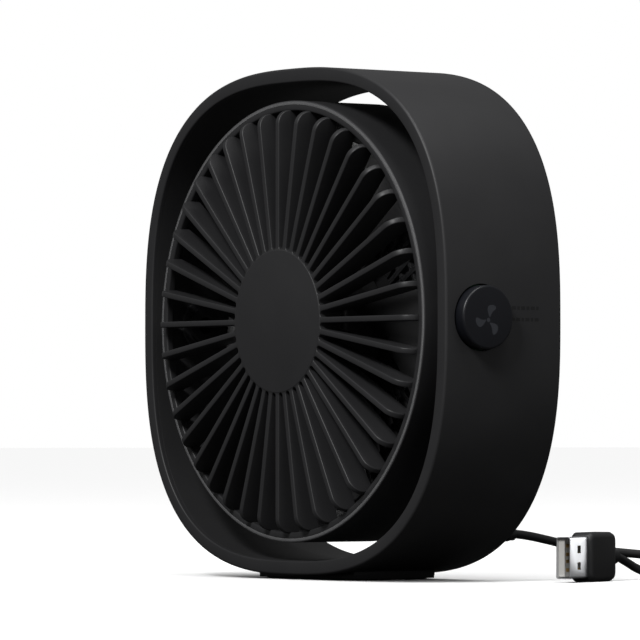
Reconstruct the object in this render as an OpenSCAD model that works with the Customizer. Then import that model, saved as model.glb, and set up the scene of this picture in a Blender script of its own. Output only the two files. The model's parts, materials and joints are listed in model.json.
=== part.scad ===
// Desk fan: a round fan head that turns inside a rounded-square frame, with a speed knob
// on the frame's side and a cord that ends in a flat four-contact power plug.
// Millimetres. +Z is up, the air leaves towards -Y, and the knob is on the +X side.
// The origin is the middle of the base's underside.

/* [Frame] */
// Width of the frame
frame_w = 150; // [149:1:190]
// Height of the frame, without the base
frame_h = 150; // [146:1:190]
// Depth of the frame, front to back
frame_d = 42.4; // [38:0.1:60]
// Thickness of the hollow wall of the frame
frame_wall = 4.2; // [3.8:0.1:5]
// Thickness of each skin of that wall
frame_skin = 1.3; // [1:0.1:1.4]
// Squareness of the frame's outline: 2 is an ellipse
frame_curve = 2.7; // [2.5:0.05:3.2]
// Squareness of the frame's inner outline
frame_inner_curve = 2.8; // [2.6:0.05:3.3]

/* [Base] */
// Width of the base
base_w = 48; // [36:1:60]
// Depth of the base
base_d = 30; // [24:1:36]
// Gap between the frame's lowest line and the table
base_h = 1.3; // [1:0.1:3]
// Depth of each rubber strip
strip_d = 6; // [4:0.5:8]
// Thickness of the rubber strips
strip_t = 0.7; // [0.5:0.1:0.9]

/* [Head] */
// Radius of the head at its front rim
head_r = 65.4; // [54:0.1:65.6]
// Depth of the head's shell
head_d = 29.5; // [28:0.5:36]
// Wall of the head's shell
head_wall = 2; // [1.6:0.1:2.6]
// Taper of the head's shell, in degrees
head_taper = 0; // [0:0.1:5]
// How far the head's rim stands ahead of the frame
head_ahead = 0.3; // [0:0.1:2]
// Distance from the head's rim back to the pivot axis
pivot_back = 13.2; // [11:0.1:15]

/* [Grilles] */
// Number of vanes in the front grille
vane_count = 40; // [24:1:48]
// Thickness of each front vane
vane_t = 1.7; // [1:0.1:2.2]
// Depth of the front vanes
vane_d = 7.5; // [5:0.1:9]
// Width of the flat rim around the vanes
rim_w = 3; // [2.4:0.1:4]
// How far the vanes stand ahead of that rim
vane_rise = 4.3; // [3:0.1:6]
// Radius of the plain disc in the middle of the front grille
hub_r = 21.2; // [16:0.1:26]
// Number of vanes in the rear grille
rear_vanes = 50; // [18:1:54]
// Thickness of each rear vane
rear_vane_t = 1.8; // [1:0.1:2.4]
// Number of rings that tie the rear vanes
rear_rings = 6; // [1:1:7]

/* [Pivot] */
// Radius of the pivot stubs
stub_r = 4; // [3.5:0.1:4.8]
// Radius of the wire hole through each stub
stub_bore_r = 2.6; // [2:0.1:2.8]
// Outer radius of the cups that hold the stubs
cup_r = 9.5; // [9.2:0.1:11]
// Running clearance of a stub in its bush
stub_fit = 0.05; // [0.03:0.01:0.1]

/* [Knob] */
// Radius of the speed knob
knob_r = 9.2; // [7:0.1:11]
// How far the knob stands out of the frame
knob_out = 3.3; // [2:0.1:6]
// Gap around the knob
knob_gap = 0.35; // [0.3:0.05:0.6]
// Radius of the knob's stem
stem_r = 2; // [1.5:0.1:2.5]

/* [Impeller] */
// Number of blades
blade_count = 5; // [3:1:7]
// Gap between the blade tips and the head's shell
tip_gap = 8; // [7:0.1:12]
// Angle that each blade covers, in degrees
blade_sweep = 50; // [36:1:56]
// Depth of the blades, front to back
blade_h = 12; // [8:0.5:13]
// Thickness of a blade
blade_t = 1.6; // [1.2:0.1:2.2]

/* [Motor] */
// Outer radius of the rotor's steel cup
rotor_r = 16.5; // [15:0.1:19.8]
// Length of the rotor's steel cup
rotor_h = 13; // [12:0.1:14]
// Radius of the shaft
shaft_r = 1.5; // [1:0.05:2]
// Running clearance of the shaft in its bushes
shaft_fit = 0.03; // [0.02:0.01:0.06]
// Number of stator poles
pole_count = 6; // [4:1:8]

/* [Cord] */
// Diameter of the cord
cord_d = 2.6; // [2.2:0.1:3]
// Diameter of the coil, at the middle of its turns
coil_d = 30; // [28:1:36]
// Width of the bundle of turns in the coil
coil_bundle_w = 13.6; // [8:0.2:14]
// Height of the bundle of turns in the coil
coil_bundle_h = 5.4; // [5:0.2:9]

/* [Plug] */
// Width of the plug's metal shell
shell_w = 12; // [11:0.1:13]
// Thickness of the plug's metal shell
shell_t = 4.5; // [4:0.1:5]
// Length of metal shell that shows
shell_l = 12; // [10:0.1:16]
// Width of the plug's grip
grip_w = 14.4; // [13:0.1:17]
// Thickness of the plug's grip
grip_t = 7.4; // [6.6:0.1:9]
// Length of the plug's grip
grip_l = 17.6; // [14:0.1:22]
// Way the plug points, in degrees from +X
plug_turn = -65; // [-80:1:-50]

/* [Hidden] */

$fn = 96;
eps = 0.01;
cut = 1;
outline_points = 112;
seat = 0.1;
rubber = [0.05, 0.05, 0.055];
plastic = [0.11, 0.11, 0.115];
dark_plastic = [0.06, 0.06, 0.07];
steel = [0.72, 0.73, 0.75];
copper = [0.72, 0.42, 0.2];
brass = [0.78, 0.62, 0.3];
board_green = [0.08, 0.3, 0.16];

axis_h = base_h + frame_h / 2;
frame_front = -frame_d / 2;
frame_back = frame_d / 2;
rim_front = frame_front - head_ahead;
head_back = rim_front + head_d;
pivot_y = rim_front + pivot_back;
vane_front = rim_front - vane_rise;

// Outline of the frame, and of everything that follows its wall

function bend(v, curve) = sign(v) * pow(abs(v), 2 / curve);
function curve_at(inset) =
    frame_curve + (frame_inner_curve - frame_curve) * inset / frame_wall;
function squircle(w, h, curve) = [for (i = [0:outline_points - 1])
    let (a = 360 * i / outline_points) [w / 2 * bend(cos(a), curve), h / 2 * bend(sin(a), curve)]];
// Distance from the middle to the outline at an inset, in the direction a
function reach(a, inset) = 1 / pow(pow(abs(cos(a)) / (frame_w / 2 - inset), curve_at(inset))
    + pow(abs(sin(a)) / (frame_h / 2 - inset), curve_at(inset)), 1 / curve_at(inset));
function wall_point(a) = reach(a, frame_wall / 2) * [cos(a), sin(a)];

module outline(inset) {
    polygon(squircle(frame_w - 2 * inset, frame_h - 2 * inset, curve_at(inset)));
}

module band(outer, inner) {
    difference() {
        outline(outer);
        outline(inner);
    }
}

module along_y(y0, y1) {
    translate([0, y1, axis_h]) rotate([90, 0, 0]) linear_extrude(y1 - y0) children();
}

// A rod along Y at a point of the frame's or the head's face
module rod_y(at, y0, y1, r) {
    translate([at[0], y0, axis_h + at[1]]) rotate([-90, 0, 0]) cylinder(h = y1 - y0, r = r);
}

// A rod on the pivot axis, side 1 being the knob's side
module rod_x(side, x0, x1, r) {
    translate([side * x0, pivot_y, axis_h]) rotate([0, side * 90, 0])
        cylinder(h = x1 - x0, r = r);
}

module tube_x(side, x0, x1, r, bore) {
    difference() {
        rod_x(side, x0, x1, r);
        rod_x(side, x0 - cut, x1 + cut, bore);
    }
}

// Children are a profile of [radius, y], turned about the head's middle line
module spin_y() {
    translate([0, 0, axis_h]) rotate([-90, 0, 0]) rotate_extrude() children();
}

module ring_y(y0, y1, r, bore) {
    spin_y() translate([bore, y0]) square([r - bore, y1 - y0]);
}

// Children repeat around the head's middle line, the first one towards +X
module around_y(count, start = 0) {
    translate([0, 0, axis_h]) rotate([-90, 0, 0])
        for (i = [0:count - 1]) rotate([0, 0, start + 360 * i / count]) children();
}

// A radial plate: children are its profile of [radius, y]
module plate(t) {
    translate([0, t / 2, 0]) rotate([90, 0, 0]) linear_extrude(t) children();
}

// A pan-head screw along Z, its head's top at zero and its shank going down
module screw(head_r, head_t, shank_r, length) {
    difference() {
        union() {
            translate([0, 0, -head_t]) cylinder(h = head_t, r = head_r);
            translate([0, 0, -length]) cylinder(h = length - head_t + eps, r = shank_r);
        }
        for (turn = [0, 90]) rotate([0, 0, turn])
            translate([-head_r * 0.55, -head_r * 0.13, -head_t / 2])
                cube([head_r * 1.1, head_r * 0.26, head_t]);
    }
}

// ---- Frame ----

flange_t = 1.6;
inner_x = frame_w / 2 - frame_wall;
cavity_in = inner_x + frame_skin;
frame_screw_turns = [30, 90, 150, 210, 330];
frame_screw_r = 0.7;
frame_boss_r = 1.3;
frame_boss_l = 10;
relief_turn = -52;
relief_at = wall_point(relief_turn);
relief_bore_r = cord_d / 2 + 0.35;
relief_in = 6;
base_screw_x = 18;
base_screw_r = 1;

module frame_shell() {
    color(plastic) difference() {
        union() {
            along_y(frame_front, frame_back) band(0, frame_skin);
            along_y(frame_front, frame_front + flange_t) band(0, frame_wall);
            for (turn = frame_screw_turns)
                rod_y(wall_point(turn), frame_back - flange_t - frame_boss_l,
                    frame_back - flange_t, frame_boss_r);
        }
        for (turn = frame_screw_turns)
            rod_y(wall_point(turn), frame_back - flange_t - frame_boss_l + 2,
                frame_back, frame_screw_r);
        rod_x(1, inner_x, frame_w / 2 + cut, knob_r + knob_gap);
        rod_y(relief_at, frame_back - flange_t - relief_in - seat, frame_back + cut,
            relief_bore_r + seat);
        for (turn = frame_screw_turns)
            rod_y(wall_point(turn), frame_back - 0.8, frame_back + cut, frame_screw_r + 0.7);
        for (side = [-1, 1]) translate([side * base_screw_x, 0, 0])
            cylinder(h = base_h + frame_wall - frame_skin, r = base_screw_r);
    }
}

cup_depth = 8.5;
cup_floor_x = frame_w / 2 - cup_depth;
cup_floor_t = 1.7;
cup_bore_r = cup_r - 1.3;
bush_r = stub_r + 1.6;
bush_flange_x = cup_floor_x + cup_floor_t;
bush_flange_t = 0.5;
pivot_clip_x = bush_flange_x + bush_flange_t + 0.2;
pivot_clip_t = 0.6;
stub_end_x = pivot_clip_x + pivot_clip_t + 0.2;

module frame_liner() {
    color(plastic) difference() {
        union() {
            along_y(frame_front + flange_t, frame_back) band(frame_wall - frame_skin, frame_wall);
            along_y(frame_back - flange_t, frame_back) band(frame_skin + seat, frame_wall);
            for (side = [-1, 1]) rod_x(side, cup_floor_x, cavity_in - 0.3, cup_r);
        }
        for (side = [-1, 1]) {
            rod_x(side, cup_floor_x + cup_floor_t, frame_w / 2, cup_bore_r);
            rod_x(side, cup_floor_x - cut, frame_w / 2, bush_r);
        }
        for (turn = frame_screw_turns) {
            rod_y(wall_point(turn), frame_back - flange_t - frame_boss_l - seat,
                frame_back - flange_t, frame_boss_r + seat);
            rod_y(wall_point(turn), frame_back - flange_t - cut, frame_back + cut,
                frame_screw_r + seat);
            rod_y(wall_point(turn), frame_back - 0.8, frame_back + cut, frame_screw_r + 0.7);
        }
        rod_y(relief_at, frame_back - flange_t - relief_in - seat, frame_back + cut,
            relief_bore_r);
    }
}

module frame_screws() {
    color(steel) for (turn = frame_screw_turns)
        translate([wall_point(turn)[0], frame_back - 0.1, axis_h + wall_point(turn)[1]])
            rotate([-90, 0, 0]) screw(frame_screw_r + 0.6, 0.7, frame_screw_r, 8);
}

// ---- Base ----

strip_y = base_d / 2 - strip_d / 2 - 1;
strip_sink = strip_t / 2;
base_slope = 0.8;

// Two strips and the band that joins them under the middle
module strips() {
    linear_extrude(strip_t) union() {
        for (side = [-1, 1]) translate([-base_w / 2 + 3, side * strip_y - strip_d / 2])
            square([base_w - 6, strip_d]);
        translate([-strip_d / 2, -strip_y]) square([strip_d, 2 * strip_y]);
    }
}

module base_plinth() {
    color(dark_plastic) difference() {
        translate([0, base_d / 2, strip_sink]) rotate([90, 0, 0]) linear_extrude(base_d)
            polygon([[-base_w / 2 + base_slope, 0], [base_w / 2 - base_slope, 0],
                [base_w / 2, base_h + 2.4], [-base_w / 2, base_h + 2.4]]);
        along_y(-base_d, base_d) outline(0);
        strips();
        for (side = [-1, 1]) {
            translate([side * base_screw_x, 0, 0]) {
                cylinder(h = base_h * 3, r = base_screw_r + seat);
                cylinder(h = strip_sink + 0.8, r = base_screw_r + 1.1);
            }
        }
    }
}

module base_strips() {
    color(rubber) strips();
}

module base_screws() {
    color(steel) for (side = [-1, 1]) translate([side * base_screw_x, 0, strip_sink + 0.1])
        rotate([180, 0, 0]) screw(base_screw_r + 0.8, 0.6, base_screw_r, 3.2);
}

// ---- Speed switch, in the frame's wall on the pivot axis ----

board_t = 1;
board_x = cavity_in;
board_r = cup_bore_r + 1.2;
contact_t = 0.15;
wiper_t = 0.4;
wiper_x = board_x - contact_t - 0.2 - wiper_t;
knob_clip_t = 0.5;
knob_clip_x = wiper_x - 0.15 - knob_clip_t;
stem_end_x = knob_clip_x - 0.3;
knob_back_x = board_x + board_t + 0.4;
contact_turns = [0, 30, 60, 90];

module pivot_bush(side) {
    color(brass) {
        tube_x(side, cup_floor_x, bush_flange_x, bush_r, stub_r + stub_fit);
        tube_x(side, bush_flange_x, bush_flange_x + bush_flange_t, bush_r + 1,
            stub_r + stub_fit);
    }
}

module switch_board() {
    color(board_green) tube_x(1, board_x, board_x + board_t, board_r, stem_r + stub_fit);
}

// The pads that the wiper rests on, in the knob's own turning order
module switch_contacts() {
    color(brass) for (turn = contact_turns)
        translate([board_x - contact_t, pivot_y, axis_h]) rotate([turn, 0, 0])
            translate([0, -0.8, stem_r + 2]) cube([contact_t, 1.6, 2.6]);
}

module speed_knob() {
    edge = 0.6;
    color(dark_plastic) union() {
        rod_x(1, knob_back_x, frame_w / 2 + knob_out - edge, knob_r);
        rod_x(1, frame_w / 2 + knob_out - edge, frame_w / 2 + knob_out, knob_r - edge);
        rod_x(1, stem_end_x, knob_back_x, stem_r);
    }
}

module knob_wiper() {
    color(brass) {
        tube_x(1, wiper_x, wiper_x + wiper_t, stem_r + 1.2, stem_r);
        translate([wiper_x, pivot_y - 0.5, axis_h + stem_r + 1]) cube([wiper_t, 1, 3]);
    }
}

module knob_clip() {
    color(steel) tube_x(1, knob_clip_x, knob_clip_x + knob_clip_t, stem_r + 1, stem_r);
}

// ---- Leads inside the frame's wall ----

lead_w = 1.1;
lead_gap = 0.25;

// One flat strand that follows the wall between two turns
module strand(from, to, y0, y1) {
    far = frame_w + frame_h;
    middle = (from + to) / 2;
    along_y(y0, y1) intersection() {
        band(frame_skin + lead_gap, frame_wall - frame_skin - lead_gap);
        polygon([[0, 0], far * [cos(from), sin(from)], far * [cos(middle), sin(middle)],
            far * [cos(to), sin(to)]]);
    }
}

supply_y = 5.5;
supply_end_y = frame_back - flange_t - relief_in;
motor_lead_y = 2.5;
cup_side_y = pivot_y + board_r;

module supply_wires() {
    color([0.5, 0.08, 0.06]) union() {
        strand(relief_turn - 1, relief_turn + 1, supply_y, supply_end_y);
        strand(relief_turn - 1, 1, supply_y, supply_y + 2 * lead_w);
        strand(-1, 1, cup_side_y, supply_y + lead_w);
    }
}

module motor_lead() {
    color([0.12, 0.12, 0.3]) union() {
        strand(-8, -90, motor_lead_y, motor_lead_y + 2 * lead_w);
        strand(-90, -178, motor_lead_y, motor_lead_y + 2 * lead_w);
        strand(-176, -181, pivot_y, motor_lead_y + 2 * lead_w);
    }
}

module strain_relief() {
    boot_l = 3;
    color(rubber) difference() {
        union() {
            rod_y(relief_at, supply_end_y, frame_back, relief_bore_r);
            rod_y(relief_at, frame_back, frame_back + 1, frame_wall / 2 - 0.05);
            rod_y(relief_at, frame_back + 1, frame_back + boot_l, relief_bore_r + 0.15);
        }
        rod_y(relief_at, supply_end_y - cut, frame_back + boot_l + cut, cord_d / 2);
    }
}

// ---- Cord ----

cord_sides = 8;
fan_side_route = [[48.9, 17, 13.7], [48.9, 24.4, 13.7], [49.2, 30, 13], [50.2, 36, 11.8],
    [51.8, 42, 10.4], [54, 48, 9.2], [56.4, 53.6, 8.4], [58.8, 59, 7.8], [61.2, 64.6, 7.2],
    [63.6, 70, 6.4], [66.2, 75.2, 5.2], [69, 80.4, 3.9], [72, 85.6, 2.8], [75.4, 90.8, 2],
    [79, 95.9, 1.8], [82.8, 101, 1.8]];
plug_side_route = [[67.4, 45.8, 7.2], [66.6, 47.6, 7.2], [65.2, 50.8, 6.7], [64.2, 55, 5.2],
    [64.4, 59.6, 3], [66.4, 63.8, 1.7], [70.2, 67, 1.4], [75.6, 68.9, 1.4], [81.6, 69.6, 1.6],
    [87.6, 69.8, 2.5], [93.6, 69.7, 3.7]];
coil_at = [100, 90];
coil_z = 0.4;
tie_t = 0.4;
tie_turn = 200;
tie_sweep = 14;

function unit(v) = v / norm(v);
function heading(route, i) =
    unit(route[min(i + 1, len(route) - 1)] - route[max(i - 1, 0)]);
function ring_at(route, i, r) = let (ahead = heading(route, i),
    across = unit(cross([0, 0, 1], ahead)), over = cross(ahead, across))
    [for (k = [0:cord_sides - 1]) let (a = 360 * k / cord_sides)
        route[i] + r * (cos(a) * across + sin(a) * over)];

module swept(route, d) {
    rings = len(route);
    polyhedron(
        points = [for (i = [0:rings - 1]) for (p = ring_at(route, i, d / 2)) p],
        faces = concat(
            [[for (k = [0:cord_sides - 1]) k]],
            [for (i = [0:rings - 2]) for (k = [0:cord_sides - 1])
                let (a = i * cord_sides + k, b = i * cord_sides + (k + 1) % cord_sides)
                [a, a + cord_sides, b + cord_sides, b]],
            [[for (k = [cord_sides - 1:-1:0]) (rings - 1) * cord_sides + k]]));
}

// Section of the coil's bundle, grown by a margin
module bundle(grow) {
    w = coil_bundle_w / 2 + grow;
    h = coil_bundle_h / 2 + grow;
    corner = 1.6;
    translate([coil_d / 2, coil_z + coil_bundle_h / 2])
        polygon([[-w, corner - h], [corner - w, -h], [w - corner, -h], [w, corner - h],
            [w, h - corner], [w - corner, h], [corner - w, h], [-w, h - corner]]);
}

module power_cord() {
    color(rubber) swept(fan_side_route, cord_d);
}

module plug_lead() {
    color(rubber) swept(plug_side_route, cord_d);
}

module cord_coil() {
    color(rubber) translate(coil_at) rotate_extrude() bundle(0);
}

module cord_tie() {
    color(dark_plastic) translate(coil_at) rotate([0, 0, tie_turn])
        rotate_extrude(angle = tie_sweep) difference() {
            bundle(tie_t);
            bundle(0);
        }
}

// ---- Plug, lying on its narrow edge and pointing along local +X ----

plug_at = [72, 36];
plug_metal_t = 0.3;
plug_sunk = 4;
plug_boot_r = 2.6;
plug_boot_l = 4;
plug_hole = 2.2;
tongue_t = 1.9;

module at_plug() {
    translate([plug_at[0], plug_at[1], grip_w / 2]) rotate([0, 0, plug_turn]) children();
}

// A block centred on the plug's line, from x0 to x1
module plug_block(x0, x1, w, t) {
    translate([x0, -t / 2, -w / 2]) cube([x1 - x0, t, w]);
}

module plug_grip() {
    front = grip_l / 2;
    slope = 1.2;
    color(plastic) at_plug() difference() {
        union() {
            plug_block(-front, front - slope, grip_w, grip_t);
            plug_block(front - slope, front, grip_w - 2 * slope, grip_t - slope);
            translate([-front - plug_boot_l, 0, 0]) rotate([0, 90, 0])
                cylinder(h = plug_boot_l, r = plug_boot_r);
        }
        plug_block(front - plug_sunk, front + cut, shell_w, shell_t);
        translate([-front - plug_boot_l - cut, 0, 0]) rotate([0, 90, 0])
            cylinder(h = plug_boot_l + cut, r = cord_d / 2);
    }
}

module plug_shell() {
    front = grip_l / 2;
    color(steel) at_plug() difference() {
        plug_block(front - plug_sunk, front + shell_l, shell_w, shell_t);
        plug_block(front - plug_sunk - cut, front + shell_l + cut,
            shell_w - 2 * plug_metal_t, shell_t - 2 * plug_metal_t);
        for (side = [-1, 1])
            translate([front + shell_l / 2 - plug_hole / 2, -shell_t,
                side * shell_w / 5 - plug_hole / 2])
                cube([plug_hole, 2 * shell_t, plug_hole]);
    }
}

module plug_tongue() {
    front = grip_l / 2;
    inner_t = shell_t - 2 * plug_metal_t;
    color([0.85, 0.85, 0.83]) at_plug() {
        plug_block(front - plug_sunk, front, shell_w - 2 * plug_metal_t, inner_t);
        translate([front, -inner_t / 2, -(shell_w - 1.2) / 2])
            cube([shell_l - 1, tongue_t, shell_w - 1.2]);
    }
}

module plug_contacts() {
    front = grip_l / 2;
    top = tongue_t - (shell_t - 2 * plug_metal_t) / 2;
    color(brass) at_plug() for (place = [-3.5, -1, 1, 3.5])
        translate([front, top, place - 0.5]) cube([shell_l - 2, 0.15, 1]);
}

// ---- Head ----

lip_w = 1.2;
lip_d = 2.4;
rim_in = head_r - rim_w;
boss_r = 7.5;
washer_t = 0.7;
boss_out_x = cup_floor_x - 0.9;
rear_t = 2;
rear_front = head_back - 0.2 - rear_t;
head_boss_in = rear_front - 9.3;
head_screw_r = 1.1;
head_post_r = 3;
head_screw_turns = [45, 135, 225, 315];
motor_plate_r = 19.5;
motor_screw_turns = [90, 210, 330];
motor_screw_at = motor_plate_r - 3.5;

function head_outer(y) = head_r - (y - rim_front) * tan(head_taper);
function head_inner(y) = head_outer(y) - head_wall;
boss_in_x = head_inner(pivot_y) - 1.5;
rear_r = head_inner(head_back) - 0.2;
head_post_at = rear_r - head_post_r - 0.2;

module head_shell() {
    seat_y = rim_front + lip_d;
    color(plastic) difference() {
        union() {
            spin_y() polygon([[head_r, rim_front], [head_outer(head_back), head_back],
                [head_inner(head_back), head_back], [head_inner(seat_y), seat_y],
                [head_r - lip_w, seat_y], [head_r - lip_w, rim_front]]);
            for (side = [-1, 1]) rod_x(side, boss_in_x, boss_out_x, boss_r);
            around_y(len(head_screw_turns), head_screw_turns[0]) {
                translate([head_post_at, 0, head_boss_in])
                    cylinder(h = rear_front - head_boss_in, r = head_post_r);
                plate(3) polygon([[head_post_at, head_boss_in],
                    [head_inner(head_boss_in) + head_wall / 2, head_boss_in],
                    [head_inner(rear_front) + head_wall / 2, rear_front],
                    [head_post_at, rear_front]]);
            }
        }
        for (side = [-1, 1]) rod_x(side, boss_in_x - cut, boss_out_x + cut, stub_r);
        around_y(len(head_screw_turns), head_screw_turns[0])
            translate([head_post_at, 0, rear_front - 8]) cylinder(h = 9, r = head_screw_r);
    }
}

// Outline of one front vane: flat in front, with a round shoulder down to the rim
function vane_outline(overlap) = let (end = rim_in + overlap, back = vane_front + vane_d)
    concat([[hub_r - overlap, vane_front]],
        [for (a = [90:-10:0]) [end - vane_rise + vane_rise * cos(a),
            rim_front - vane_rise * sin(a)]],
        [[end, back], [hub_r - overlap, back]]);

module front_grille() {
    hub_t = 2;
    hub_wall = 1.6;
    hub_front = vane_front - 0.1;
    hub_back = vane_front + vane_d - 0.3;
    color(plastic) union() {
        spin_y() polygon([[0, hub_front], [hub_r, hub_front], [hub_r, hub_back],
            [hub_r - hub_wall, hub_back], [hub_r - hub_wall, hub_front + hub_t],
            [0, hub_front + hub_t]]);
        ring_y(rim_front, rim_front + lip_d, head_r - lip_w - seat, rim_in);
        around_y(vane_count) plate(vane_t) polygon(vane_outline(0.25));
    }
}

module rear_grille() {
    ring_w = 1.6;
    edge_w = 2 * head_post_r + 0.6;
    slot_front = rear_front - 2.1;
    color(plastic) difference() {
        union() {
            ring_y(rear_front, rear_front + rear_t, rear_r, rear_r - edge_w);
            ring_y(rear_front, rear_front + rear_t, motor_plate_r + 0.5, 0);
            for (k = [1:rear_rings]) {
                r = motor_plate_r + (rear_r - edge_w - motor_plate_r) * k / (rear_rings + 1);
                ring_y(slot_front + 0.3, rear_front + rear_t - 0.3, r + ring_w / 2, r - ring_w / 2);
            }
            around_y(rear_vanes) plate(rear_vane_t) polygon([[motor_plate_r, rear_front + 0.5],
                [motor_plate_r + 0.7, rear_front + 0.5], [motor_plate_r + 0.7, slot_front],
                [rear_r - edge_w - 0.2, slot_front], [rear_r - edge_w - 0.2, rear_front + 0.5],
                [rear_r - edge_w + 0.5, rear_front + 0.5],
                [rear_r - edge_w + 0.5, rear_front + rear_t - 0.1],
                [motor_plate_r, rear_front + rear_t - 0.1]]);
        }
        around_y(len(head_screw_turns), head_screw_turns[0])
            translate([head_post_at, 0, rear_front - cut]) {
                cylinder(h = rear_t + 2 * cut, r = head_screw_r + seat);
                translate([0, 0, cut + rear_t - 0.9]) cylinder(h = 3, r = head_screw_r + 1.1);
            }
        around_y(len(motor_screw_turns), motor_screw_turns[0])
            translate([motor_screw_at, 0, rear_front - cut]) {
                cylinder(h = rear_t + 2 * cut, r = head_screw_r + seat);
                translate([0, 0, cut + rear_t - 0.9]) cylinder(h = 3, r = head_screw_r + 1.1);
            }
    }
}

module head_screws() {
    color(steel) around_y(len(head_screw_turns), head_screw_turns[0])
        translate([head_post_at, 0, rear_front + rear_t])
            screw(head_screw_r + 0.9, 0.9, head_screw_r, 8.5);
}

module motor_screws() {
    color(steel) around_y(len(motor_screw_turns), motor_screw_turns[0])
        translate([motor_screw_at, 0, rear_front + rear_t])
            screw(head_screw_r + 0.9, 0.9, head_screw_r, 3.8);
}

module pivot_stub(side) {
    color(dark_plastic) difference() {
        union() {
            rod_x(side, boss_in_x - 1.5, boss_in_x, stub_r + 1.5);
            rod_x(side, boss_in_x, stub_end_x, stub_r);
        }
        rod_x(side, boss_in_x - 1.5 - cut, stub_end_x + cut, stub_bore_r);
    }
}

module pivot_washers() {
    color(dark_plastic) for (side = [-1, 1])
        tube_x(side, boss_out_x, boss_out_x + washer_t, boss_r - 0.5, stub_r);
}

module pivot_clips() {
    color(steel) for (side = [-1, 1])
        tube_x(side, pivot_clip_x, pivot_clip_x + pivot_clip_t, stub_r + 1.8, stub_r);
}

// ---- Motor ----

tube_r = 4.2;
tube_bore_r = shaft_r + 1.5;
base_t = 2;
motor_base_y = rear_front - base_t;
motor_board_t = 1.2;
rotor_wall = 0.8;
rotor_front = motor_base_y - 16.8;
rotor_back = rotor_front + rotor_h;
bush_l = 3;
tube_front = rotor_front + 4;
magnet_t = 2;
air_gap = 0.5;
stator_r = rotor_r - rotor_wall - magnet_t - air_gap;
stator_y = tube_front + 0.5;
stator_h = 6;
shaft_end = motor_base_y - 0.3;

module motor_base() {
    color(dark_plastic) difference() {
        union() {
            ring_y(motor_base_y, rear_front, motor_plate_r, tube_bore_r);
            ring_y(tube_front, motor_base_y + eps, tube_r, tube_bore_r);
        }
        around_y(len(motor_screw_turns), motor_screw_turns[0])
            translate([motor_screw_at, 0, motor_base_y - cut])
                cylinder(h = base_t + 2 * cut, r = head_screw_r);
    }
}

module motor_bushes() {
    color(brass) for (y = [tube_front, motor_base_y - 1.6 - bush_l])
        ring_y(y, y + bush_l, tube_bore_r, shaft_r + shaft_fit);
}

module motor_stator() {
    neck_w = 2.4;
    shoe_t = 1.6;
    shoe_gap = 10;
    color([0.45, 0.45, 0.47]) union() {
        ring_y(stator_y, stator_y + stator_h, tube_r + 2, tube_r);
        around_y(pole_count) {
            translate([tube_r + 1.6, -neck_w / 2, stator_y])
                cube([stator_r - tube_r - 2.4, neck_w, stator_h]);
            translate([0, 0, stator_y]) rotate([0, 0, -180 / pole_count + shoe_gap / 2])
                rotate_extrude(angle = 360 / pole_count - shoe_gap)
                    translate([stator_r - shoe_t, 0]) square([shoe_t, stator_h]);
        }
    }
}

module motor_coils() {
    neck_w = 2.4;
    coil_w = neck_w + 2.2;
    color(copper) around_y(pole_count) difference() {
        translate([tube_r + 2.5, -coil_w / 2, stator_y - 1.1])
            cube([stator_r - tube_r - 4.6, coil_w, stator_h + 2.2]);
        translate([0, -neck_w / 2, stator_y]) cube([stator_r, neck_w, stator_h]);
    }
}

module motor_board() {
    color(board_green)
        ring_y(motor_base_y - motor_board_t, motor_base_y, stator_r - 1, tube_r);
}

// Bends of the motor's wires at the stub: how far in from the boss's inner end, and the y there
wire_turns = [[-1.5, pivot_y + 0.5], [-2.8, pivot_y + 2.2], [-3.2, pivot_y + 4.7],
    [-3.7, motor_base_y - 5], [-5.5, motor_base_y - 2.9]];
// Their run along the rear grille: share of the way, and distance ahead of the motor's plate
wire_runs = [[0.88, 1.9], [0.6, 1.7], [0.28, 1.5], [0, 1.2]];

module head_wires() {
    run_x = 20;
    bend_x = boss_in_x - 5.5;
    color(rubber) swept([for (p = concat([[stator_r - 1, motor_base_y - 0.7]],
        [for (k = [3:-1:0]) [run_x + (bend_x - run_x) * wire_runs[k][0],
            motor_base_y - wire_runs[k][1]]],
        [for (k = [4:-1:0]) [boss_in_x + wire_turns[k][0], wire_turns[k][1]]],
        [[boss_in_x + 0.7, pivot_y], [(boss_in_x + stub_end_x) / 2, pivot_y],
            [stub_end_x - 0.3, pivot_y]])) [-p[0], p[1], axis_h]], 1.6);
}

module rotor_cup() {
    color(steel) spin_y() polygon([[shaft_r, rotor_front], [rotor_r, rotor_front],
        [rotor_r, rotor_back], [rotor_r - rotor_wall, rotor_back],
        [rotor_r - rotor_wall, rotor_front + 1], [shaft_r, rotor_front + 1]]);
}

module magnet_ring() {
    color([0.2, 0.2, 0.2]) ring_y(rotor_front + 2.5, rotor_back - 0.5, rotor_r - rotor_wall,
        rotor_r - rotor_wall - magnet_t);
}

module motor_shaft() {
    color(steel) ring_y(rotor_front, shaft_end, shaft_r, 0);
}

module shaft_clip() {
    color(steel) ring_y(shaft_end - 0.9, shaft_end - 0.4, shaft_r + 1, shaft_r);
}

// ---- Impeller ----

impeller_wall = 1.7;
impeller_hub_r = rotor_r + impeller_wall;
impeller_front = rotor_front - 2;
impeller_r = head_inner(rotor_back) - tip_gap;
blade_steps = 8;

// A point on a blade: across 0..1 goes along its sweep, out 0..1 from root to tip
function blade_point(across, out, lift) = let (
    r = impeller_hub_r - 0.8 + (impeller_r - impeller_hub_r + 0.8) * out,
    half = blade_sweep / 2 * (0.62 + 0.38 * sin(90 * out)),
    a = half * (2 * across - 1) + 14 * out)
    [r * cos(a), r * sin(a), blade_h * (across - 0.5) * (1 - 0.25 * out)
        + 1.2 * sin(180 * across) + lift];

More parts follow.
